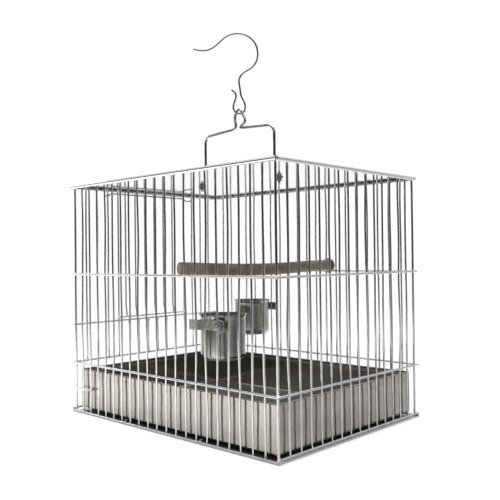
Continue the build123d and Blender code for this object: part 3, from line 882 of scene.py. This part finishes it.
def build_perch():
    """A round stick with a slow bend, sawn ends and a few knots."""
    seg, steps = STICK_SEG, STICK_STEPS
    path, radius = stick_path(islands("perch")[0])
    stations = frames(path)

    def radius_at(i, a):
        cos, sin = math.cos(a), math.sin(a)
        r = radius * (0.965 + 0.018 * noise.noise(Vector((cos * 1.1, sin * 1.1, i * 0.035))))
        r += 0.05 * MM * noise.noise(Vector((cos * 9, sin * 9, i * 0.02)))
        for place, angle, size in KNOTS:
            round_mm = radius / MM * math.atan2(math.sin(a - angle), math.cos(a - angle))
            away = math.hypot((i / steps - place) * STICK_LENGTH_MM, round_mm)
            r += (size * 0.45 * MM * math.exp(-(away / 3.4) ** 2)
                  - size * 0.22 * MM * math.exp(-(away / 1.3) ** 2))
        return min(r, radius * 1.02)

    # (station, shift along the stick, share of the radius)
    rings = [(0, inset * MM, share) for inset, share in STICK_EDGE]
    rings += [(i, 0, 1.0) for i in range(2, steps - 1)]
    rings += [(steps, -inset * MM, share) for inset, share in reversed(STICK_EDGE)]
    verts, faces = [], []
    for i, shift, share in rings:
        point, tangent, u, v = stations[i]
        for a in angles(seg):
            r = radius_at(i, a) * share
            verts.append(point + tangent * shift + u * (r * math.cos(a)) + v * (r * math.sin(a)))
    last = (len(rings) - 1) * seg
    for start in range(0, last, seg):
        faces += band(start, start + seg, seg, around=True)

    # sawn end faces with slight rings in relief, sunk into the stick
    for station, previous, into in ((0, 0, 1), (steps, last, -1)):
        point, tangent, u, v = stations[station]
        for share in (0.6, 0.4, 0.2):
            start = len(verts)
            for a in angles(seg):
                cos, sin = math.cos(a), math.sin(a)
                r = radius * share
                grain = noise.noise(Vector((cos * share * 9, sin * share * 9, station)))
                sunk = abs(0.05 * MM * math.sin(share * 40) + 0.04 * MM * grain)
                verts.append(point + tangent * (into * sunk) + u * (r * cos) + v * (r * sin))
            faces += band(previous, start, seg, around=True)
            previous = start
        faces += fan(len(verts), previous, seg)
        verts.append(point)
    shape = Shape()
    shape.add(verts, faces)
    shape.build("perch_stick", "cage", WOOD, "perch", sharp=55)


# ------------------------------------------------------------------ cups
CUP_SHEET = 0.8 * MM
CUP_BEND = 5 * MM             # outside radius of the bottom corner
# (share of the wall radius, mm above the bottom)
CUP_BASE_OUTSIDE = [(0.0, 0.55), (0.55, 0.55), (0.60, 0.35), (0.63, 0.0), (0.70, 0.0)]
CUP_BASE_INSIDE = [(0.70, 0.8), (0.63, 0.8), (0.60, 0.95), (0.55, 1.15), (0.0, 1.15)]
# (mm outside the wall radius, mm above the bottom)
CUP_WALL_OUTSIDE = [(0, 5.4), (0, 9), (-0.03, 16), (0, 24)]
CUP_WALL_INSIDE = [(-0.8, 24), (-0.8, 5.4)]
# (mm outside the wall radius, mm below the top)
CUP_FLARE_OUTSIDE = [(0, 8.6), (0, 4.4), (0.12, 3.0), (0.5, 1.7), (1.0, 0.95)]
CUP_FLARE_INSIDE = [(0.35, 0.6), (-0.1, 1.3), (-0.5, 2.8), (-0.8, 4.5), (-0.8, 6.4)]
# (mm outside the lip radius, mm below the top)
CUP_LIP = [(-0.12, 0.62), (0, 0.42), (-0.02, 0.2), (-0.2, 0), (-0.5, 0.02)]


def cup_profile(wall, lip, height):
    """Deep-drawn section from the middle of the bottom over the lip and back inside."""
    def base(rows):
        return [(wall * share, z * MM) for share, z in rows]

    def bend(radius):
        turns = [math.pi / 2 * k / 8 for k in range(1, 8)]
        return [(wall - CUP_BEND + radius * math.sin(a), CUP_BEND - radius * math.cos(a))
                for a in turns]

    def above(rows):
        return [(wall + out * MM, z * MM) for out, z in rows]

    def below_top(radius, rows):
        return [(radius + out * MM, height - z * MM) for out, z in rows]

    outside = (base(CUP_BASE_OUTSIDE) + bend(CUP_BEND) + above(CUP_WALL_OUTSIDE)
               + below_top(wall, CUP_FLARE_OUTSIDE) + below_top(lip, CUP_LIP))
    inside = (below_top(wall, CUP_FLARE_INSIDE) + above(CUP_WALL_INSIDE)
              + bend(CUP_BEND - CUP_SHEET)[::-1] + base(CUP_BASE_INSIDE))
    return outside + inside


def build_cup(side):
    points = islands(side + "_cup")[0]
    low, high = points.min(0), points.max(0)
    centre = Vector(((low[0] + high[0]) / 2, (low[1] + high[1]) / 2, low[2]))
    height = high[2] - low[2]
    lip = (high[0] - low[0]) / 2
    from_axis = np.hypot(points[:, 0] - centre.x, points[:, 1] - centre.y)
    # the wall radius is read about 5 mm up; without points there it is taken from the lip
    level = points[:, 2] - low[2]
    wall_points = from_axis[(level > 0.0045) & (level < 0.0055)]
    wall = float(wall_points.max()) if len(wall_points) else lip - 1.6 * MM
    shape = Shape()
    lathe(shape, cup_profile(wall, lip, height), centre, axis_vector(2), seg=112)
    cup = shape.build(side + "_cup_drawn", side + "_cup_holder", CUP,
                      side + "_cup", sharp=50)
    # the inside wall and bottom take the dark copy of the cup steel, painted shade
    cup.data.materials.append(CUP_INSIDE_SHADE_PAINT)
    for polygon in cup.data.polygons:
        x, y, z = polygon.center
        normal = polygon.normal
        faces_axis = normal.x * (x - centre.x) + normal.y * (y - centre.y) < -1e-5
        inner_wall = faces_axis and (
            centre.z + 2.0 * MM < z < centre.z + height - 0.3 * MM)
        inner_base = normal.z > 0.3 and (
            centre.z + 0.6 * CUP_SHEET < z < centre.z + 4.0 * MM)
        if inner_wall or inner_base:
            polygon.material_index = 1


# ------------------------------------------------------------------ tray
TRAY_SHEET = 0.8 * MM
TRAY_HEM = 5.0 * MM           # depth of the rim turned in
TRAY_CORNER = 2.0 * MM
TRAY_CORNER_STEPS = 6
TRAY_STEPS_ALONG = 52         # along the sides parallel to X
TRAY_STEPS_ACROSS = 38        # along the sides parallel to Y
TRAY_WALL_STEPS = 9
TRAY_WAVE = 0.32 * MM         # how far the walls may spring out of line
TRAY_BASE_INSET = 2.2 * MM    # the bottom's rings are shrunk from an outline this far in
TRAY_BASE_RISE = 0.10 * MM    # how much higher the bottom is in the middle
TRAY_UNDER_SCALES = (0.06, 0.2, 0.4, 0.6, 0.8, 0.93)
TRAY_FLOOR_SCALES = (0.985, 0.95, 0.88, 0.8, 0.7, 0.6, 0.5, 0.4, 0.3, 0.2, 0.1, 0.04)


def tray_outline(low, high, inset, z, wave):
    """A rounded rectangle moved in by inset, its sides waving by up to wave."""
    centre_x, centre_y = (low.x + high.x) / 2, (low.y + high.y) / 2
    half_x, half_y = (high.x - low.x) / 2, (high.y - low.y) / 2
    corner = max(TRAY_CORNER - inset, 0.3 * MM)
    arc_x, arc_y = half_x - inset - corner, half_y - inset - corner
    arcs = [(arc_x, arc_y), (-arc_x, arc_y), (-arc_x, -arc_y), (arc_x, -arc_y)]
    points = []     # x, y and the outward direction
    for i, (x, y) in enumerate(arcs):
        for k in range(TRAY_CORNER_STEPS + 1):
            a = math.pi / 2 * (i + k / TRAY_CORNER_STEPS)
            points.append((x + corner * math.cos(a), y + corner * math.sin(a),
                           math.cos(a), math.sin(a)))
        next_x, next_y = arcs[(i + 1) % 4]
        a = math.pi / 2 * (i + 1)
        cos, sin = math.cos(a), math.sin(a)
        start_x, start_y = x + corner * cos, y + corner * sin
        end_x, end_y = next_x + corner * cos, next_y + corner * sin
        steps = TRAY_STEPS_ALONG if i % 2 == 0 else TRAY_STEPS_ACROSS
        for k in range(1, steps):
            share = k / steps
            points.append((start_x + (end_x - start_x) * share,
                           start_y + (end_y - start_y) * share, cos, sin))
    level = (z - low.z) / (high.z - low.z)
    outline = []
    for x, y, out_x, out_y in points:
        along, half = (x, half_x) if abs(out_y) > abs(out_x) else (y, half_y)
        free = max(0.0, 1 - (along / half) ** 6)     # the corners hold the wall in line
        slow = Vector((along * 16 + out_x * 5, out_y * 7, level * 1.6))
        quick = Vector((along * 52, out_y * 9 + out_x * 3, level * 2.5))
        shift = wave * free * noise.noise(slow)
        shift += wave * 0.5 * free * noise.noise(quick)
        outline.append(Vector((centre_x + x + out_x * shift, centre_y + y + out_y * shift, z)))
    return outline


def tray_wall(bottom, span):
    """Rows up one side of the wall, waving most about two thirds of the way up."""
    rows = []
    for k in range(TRAY_WALL_STEPS + 1):
        share = k / TRAY_WALL_STEPS
        rows.append((bottom + span * k / TRAY_WALL_STEPS,
                     0.3 + 0.7 * math.sin(math.pi * share * 0.8)))
    return rows


def build_tray():
    """A folded sheet with its rim turned in and a little spring in the walls."""
    low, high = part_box("tray")
    centre_x, centre_y = (low.x + high.x) / 2, (low.y + high.y) / 2
    bottom, top = low.z, high.z
    hem_edge = top - TRAY_HEM
    wall_height = top - TRAY_HEM - bottom
    verts, faces, rings = [], [], []

    def add_ring(points):
        rings.append(len(verts))
        verts.extend(points)

    base = tray_outline(low, high, TRAY_BASE_INSET, bottom, 0)
    for scale in TRAY_UNDER_SCALES:
        add_ring([Vector((centre_x + (p.x - centre_x) * scale,
                          centre_y + (p.y - centre_y) * scale,
                          bottom + TRAY_BASE_RISE * (1 - scale))) for p in base])

    # each row: inset, z, share of the wave
    rows = [(1.6 * MM, bottom, 0), (0.75 * MM, bottom + 0.16 * MM, 0),
            (0.22 * MM, bottom + 0.62 * MM, 0), (0.0, bottom + 1.4 * MM, 0.2)]
    rows += [(0.0, z, wave) for z, wave in tray_wall(bottom + 1.8 * MM, wall_height - 2.2 * MM)]
    rows += [(0.05 * MM, hem_edge, 0.55), (0.0, hem_edge + 0.5 * MM, 0.5),
             (0.0, top - 1.0 * MM, 0.4)]
    # the rim turns over in a half circle one sheet thick
    for k in range(1, 8):
        a = math.pi / 2 * k / 4
        rows.append((TRAY_SHEET * (1 - math.cos(a)),
                     top - TRAY_SHEET + TRAY_SHEET * math.sin(a), 0.4))
    rows += [(2 * TRAY_SHEET, top - 1.2 * MM, 0.4), (2 * TRAY_SHEET, hem_edge + 0.5 * MM, 0.5),
             (1.45 * MM, hem_edge + 0.12 * MM, 0.5), (1.15 * MM, hem_edge, 0.5),
             (0.92 * MM, hem_edge + 0.12 * MM, 0.5), (0.82 * MM, hem_edge - 0.4 * MM, 0.55)]
    inner_wall = tray_wall(bottom + 2.8 * MM, wall_height - 3.6 * MM)
    rows += [(TRAY_SHEET, z, wave) for z, wave in reversed(inner_wall)]
    rows += [(0.9 * MM, bottom + 1.9 * MM, 0.2), (1.3 * MM, bottom + 1.15 * MM, 0),
             (2.1 * MM, bottom + TRAY_SHEET, 0)]
    for inset, z, wave in rows:
        add_ring(tray_outline(low, high, inset, z, TRAY_WAVE * wave))

    for scale in TRAY_FLOOR_SCALES:
        ring = []
        for p in base:
            x = centre_x + (p.x - centre_x) * scale
            y = centre_y + (p.y - centre_y) * scale
            uneven = 0.16 * MM * noise.noise(Vector((x * 14, y * 14, 2.0)))
            rise = TRAY_BASE_RISE * (1 - scale) + (1 - scale ** 4) * uneven
            ring.append(Vector((x, y, bottom + TRAY_SHEET + rise)))
        add_ring(ring)

    seg = len(base)
    for first, second in zip(rings[:-1], rings[1:]):
        faces += band(first, second, seg)
    for start in (rings[0], rings[-1]):
        faces += fan(len(verts), start, seg)
        verts.append(sum(verts[start:start + seg], Vector((0, 0, 0))) / seg)
    shape = Shape()
    shape.add(verts, faces)
    shape.build("tray_folded_sheet", "tray", TRAY, "tray", sharp=40)


# ------------------------------------------------------------------ floor
FLOOR_HALF = 6.0
FLOOR_CELLS = 24
FLOOR_Z = -0.0002
# light the camera sees from the background, so that floor and world meet without an edge
BACKDROP_STRENGTH = 1.06
# level direction in which the camera looks
AWAY_FROM_CAMERA = (-0.685, 0.728, 0)
CAGE_HALF_X, CAGE_HALF_Y = 0.146, 0.106     # the floor's plain patch under the cage


def floor_material():
    material, graph, shader = new_material("floor_paint")
    shader["Roughness"].default_value = 0.8
    shader["Specular IOR Level"].default_value = 0.1
    position = graph.add("NewGeometry").outputs["Position"]
    place = graph.add("SeparateXYZ", {0: position}).outputs
    level = graph.add("CombineXYZ", {0: place["X"], 1: place["Y"]}).outputs[0]

    # painted shade: the floor's colour darkens towards the front and is nearly black beyond, where
    # the room is unlit
    forward = graph.map_range(graph.dot(level, (-0.20, -0.98, 0)), (0.0, 3.0))
    paper = graph.ramp(forward, [
        (0.0, (0.92, 0.915, 0.90)), (0.217, (0.90, 0.89, 0.87)),
        (0.267, (0.34, 0.34, 0.34)), (0.33, (0.06, 0.06, 0.06))])
    # and painted shade makes it darker towards the right
    rightward = graph.map_range(graph.dot(level, (1.0, 0.12, 0)), (0.10, 0.45))
    dimming = graph.ramp(rightward, [
        (0.0, (1, 1, 1)), (0.30, (0.52, 0.52, 0.51)), (1.0, (0.36, 0.36, 0.36))])
    paper = graph.mix("MULTIPLY", 1.0, paper, dimming)
    speckle = graph.ramp(graph.noise(400.0, 4, 0.6), [(0.3, (0.97, 0.97, 0.97)), (0.7, (1, 1, 1))])
    paper = graph.mix("MULTIPLY", 1.0, paper, speckle)
    # contact shadow
    occlusion = graph.add("AmbientOcclusion", {"Distance": 0.014}, samples=8)
    shade = graph.ramp(occlusion.outputs["AO"],
                       [(0.0, 0.09), (0.45, 0.28), (0.80, 0.88), (1.0, 1.0)])
    graph.feed(shader["Base Color"], graph.mix("MULTIPLY", 1.0, paper, shade))

    # for the camera the paper burns out to the background's white a little way from the cage
    white = graph.add("Emission", {0: (1, 1, 1, 1), 1: BACKDROP_STRENGTH})
    outside_x = graph.math("SUBTRACT", graph.math("ABSOLUTE", place["X"]), CAGE_HALF_X)
    outside_y = graph.math("SUBTRACT", graph.math("ABSOLUTE", place["Y"]), CAGE_HALF_Y)
    away = graph.map_range(graph.math("MAXIMUM", outside_x, outside_y), (0.0, 0.16))
    burn = graph.ramp(away, [(0.0, 0.0), (0.038, 0.35), (0.055, 0.80), (0.14, 0.94), (0.50, 1.0)])
    camera_ray = graph.add("LightPath").outputs["Is Camera Ray"]
    seen = graph.math("MULTIPLY", burn, camera_ray)
    # for reflections and bounced light it glows only far behind the cage
    glow = graph.ramp(graph.dot(level, AWAY_FROM_CAMERA), [(0.30, 0.0), (0.65, 0.85)])
    reflected = graph.math("MULTIPLY", glow, graph.math("SUBTRACT", 1.0, camera_ray))
    amount = graph.math("ADD", seen, reflected)
    paint = shader["Base Color"].node.outputs[0]
    mixed = graph.add("MixShader", {0: amount, 1: paint, 2: white.outputs[0]})
    graph.feed(graph.output, mixed.outputs[0])
    return material


def build_floor():
    mesh = bpy.data.meshes.new("floor")
    marks = [-FLOOR_HALF + 2 * FLOOR_HALF * i / FLOOR_CELLS for i in range(FLOOR_CELLS + 1)]
    verts = [(x, y, FLOOR_Z) for y in marks for x in marks]
    row = FLOOR_CELLS + 1
    faces = [(j * row + i, j * row + i + 1, (j + 1) * row + i + 1, (j + 1) * row + i)
             for j in range(FLOOR_CELLS) for i in range(FLOOR_CELLS)]
    mesh.from_pydata(verts, [], faces)
    floor = bpy.data.objects.new("floor", mesh)
    bpy.context.scene.collection.objects.link(floor)
    floor.data.materials.append(floor_material())


# ------------------------------------------------------------------ world, lights, camera
def build_world():
    """The camera sees plain white; everything else sees a room with a lit sweep."""
    world = bpy.data.worlds.new("studio")
    bpy.context.scene.world = world
    world.use_nodes = True
    graph = Graph(world.node_tree, "OutputWorld")
    white = graph.add("Background", {0: (1, 1, 1, 1), 1: BACKDROP_STRENGTH})
    generated = graph.add("TexCoord").outputs["Generated"]
    view = graph.add("SeparateXYZ", {0: generated}).outputs
    # the room by height: dark low down, bright overhead
    room = graph.ramp(view["Z"], [
        (0.0, (0.050, 0.050, 0.058)), (0.20, (0.035, 0.035, 0.042)),
        (0.34, (0.42, 0.42, 0.43)), (0.60, (0.85, 0.85, 0.86)), (0.90, (1.0, 1.0, 1.0))])
    # the white sweep stands behind the cage
    flat = graph.add("CombineXYZ", {0: view["X"], 1: view["Y"]}).outputs[0]
    level = graph.add("VectorMath", {0: flat}, operation="NORMALIZE").outputs[0]
    # ramp positions below zero are held at zero
    behind = graph.ramp(graph.dot(level, AWAY_FROM_CAMERA), [
        (-1.0, 0.0), (-0.30, 0.02), (0.0, 0.10), (0.30, 0.45), (0.60, 1.0)])
    low_down = graph.ramp(view["Z"], [(0.45, 1.0), (0.70, 0.0)])
    sweep = graph.math("MULTIPLY", behind, low_down)
    colour = graph.mix("MIX", sweep, room, (0.80, 0.80, 0.83, 1))
    surroundings = graph.add("Background", {0: colour, 1: 1.0})
    camera_ray = graph.add("LightPath").outputs["Is Camera Ray"]
    mixed = graph.add("MixShader",
                      {0: camera_ray, 1: surroundings.outputs[0], 2: white.outputs[0]})
    graph.feed(graph.output, mixed.outputs[0])


def area_light(name, location, target, size, power, colour):
    light = bpy.data.lights.new(name, "AREA")
    light.shape = "RECTANGLE"
    light.size, light.size_y = size
    light.energy = power
    light.color = colour
    ob = bpy.data.objects.new(name, light)
    bpy.context.scene.collection.objects.link(ob)
    ob.location = location
    direction = Vector(target) - Vector(location)
    ob.rotation_euler = direction.to_track_quat("-Z", "Y").to_euler()


CAMERA_PLACE = (0.51535, -0.52971, 0.16986)
# the camera's own axes
CAMERA_RIGHT = (0.7280476, 0.6854291, -0.0115649)
CAMERA_UP = (0.0159357, -0.0000563, 0.9998730)
CAMERA_BACK = (0.6853414, -0.7281394, -0.0109638)


def build_camera():
    scene = bpy.context.scene
    data = bpy.data.cameras.new("camera")
    camera = bpy.data.objects.new("camera", data)
    scene.collection.objects.link(camera)
    data.sensor_width = 36.0
    data.lens = 48.661488
    data.dof.use_dof = True
    data.dof.focus_distance = 0.62
    data.dof.aperture_fstop = 14.0
    data.clip_start = 0.01
    data.clip_end = 50
    columns = zip(CAMERA_RIGHT, CAMERA_UP, CAMERA_BACK, CAMERA_PLACE)
    camera.matrix_world = Matrix((*columns, (0, 0, 0, 1)))
    scene.camera = camera


def set_colour_management():
    view = bpy.context.scene.view_settings
    view.view_transform = "Standard"
    view.look = "None"
    view.exposure = 0.0
    view.gamma = 1.0


# ------------------------------------------------------------------ build, in object order
dress_cad_pieces()
build_weld_nuggets(build_wires())
build_door_weld_nuggets()

build_handle_screws()
build_washers("handle_washers", "cage", axis=2, bore=1.62 * MM)
build_nuts("handle_nuts", "cage", axis=2, sign=-1, bore=1.50 * MM)
build_washers("perch_washers", "cage", axis=1, bore=2.15 * MM, material=WASHER)
build_nuts("perch_nut", "cage", axis=1, sign=1, bore=1.95 * MM, limit=1)
build_perch_bolt()
for cup_side in ("front", "back"):
    build_cup_clamp(cup_side)

build_perch()
for cup_side in ("front", "back"):
    build_cup(cup_side)
    build_cup_screw(cup_side)
build_tray()

build_floor()
build_world()
area_light("softbox_top", location=(-0.1, 0.1, 1.9), target=(0, 0, 0.1), size=(1.5, 1.5),
           power=46, colour=(1.0, 0.995, 0.98))
area_light("softbox_left", location=(-1.9, -0.6, 0.9), target=(0, 0, 0.12), size=(0.30, 0.9),
           power=3.0, colour=(0.98, 0.99, 1.0))
build_camera()
set_colour_management()
